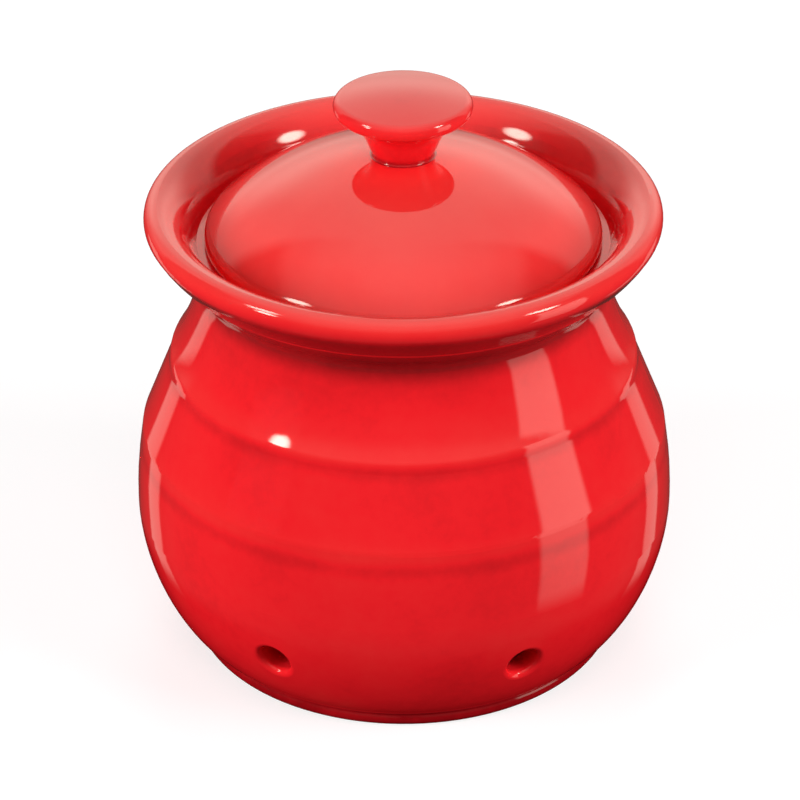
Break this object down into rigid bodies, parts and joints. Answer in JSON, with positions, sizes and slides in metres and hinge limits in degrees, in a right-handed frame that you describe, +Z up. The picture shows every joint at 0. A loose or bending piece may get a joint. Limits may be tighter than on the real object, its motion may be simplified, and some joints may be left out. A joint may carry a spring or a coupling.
{
  "type": "garlic keeper",
  "caption": "Round-bellied glazed stoneware garlic keeper with a flared rolled rim, low vent holes and a domed drop-in lid that lifts off by a mushroom knob.",
  "frame": {"origin": "centre of the plane that the foot ring rests on", "axes": "+Z up along the pot's turning axis; the front, with its pair of vents, faces -Y; +X to the right seen from the front"},
  "size_m": [0.125, 0.125, 0.1366],
  "materials": {
    "pot": "glossy red glaze outside and in, bare clay on the foot's resting face",
    "lid": "glossy red glaze, bare clay on the seat and the locating ring",
    "lid_knob": "glossy red glaze"
  },
  "bodies": {
    "pot": {"pot": "pot"},
    "lid": {"lid": "lid", "lid_knob": "lid_knob"}
  },
  "joints": [
    {"name": "lid_lift", "type": "slide", "parent": "pot", "child": "lid", "axis": [0, 0, 1], "range_m": [0, 0.06]}
  ]
}
